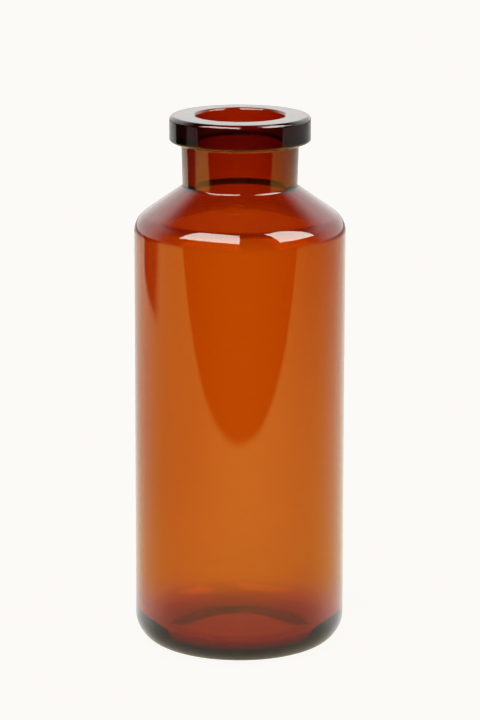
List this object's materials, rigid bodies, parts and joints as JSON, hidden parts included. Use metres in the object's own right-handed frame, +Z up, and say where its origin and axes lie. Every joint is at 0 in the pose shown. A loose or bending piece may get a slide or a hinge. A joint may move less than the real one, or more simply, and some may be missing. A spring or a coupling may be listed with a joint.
{
  "type": "glass vial",
  "caption": "Open amber glass vial with straight sides, a sloping shoulder, a short neck and a flat crown for a 20 mm stopper and crimp cap.",
  "frame": {"origin": "centre of the standing plane under the bottom", "axes": "+Z up the axis of the vial; +X and +Y are interchangeable, because the vial is round"},
  "size_m": [0.03, 0.03, 0.0764],
  "materials": {
    "amber_glass": "clear amber borosilicate glass, fire-polished and glossy"
  },
  "bodies": {
    "root": {"base": "amber_glass", "body": "amber_glass", "shoulder": "amber_glass", "neck": "amber_glass", "crown": "amber_glass"}
  },
  "joints": []
}
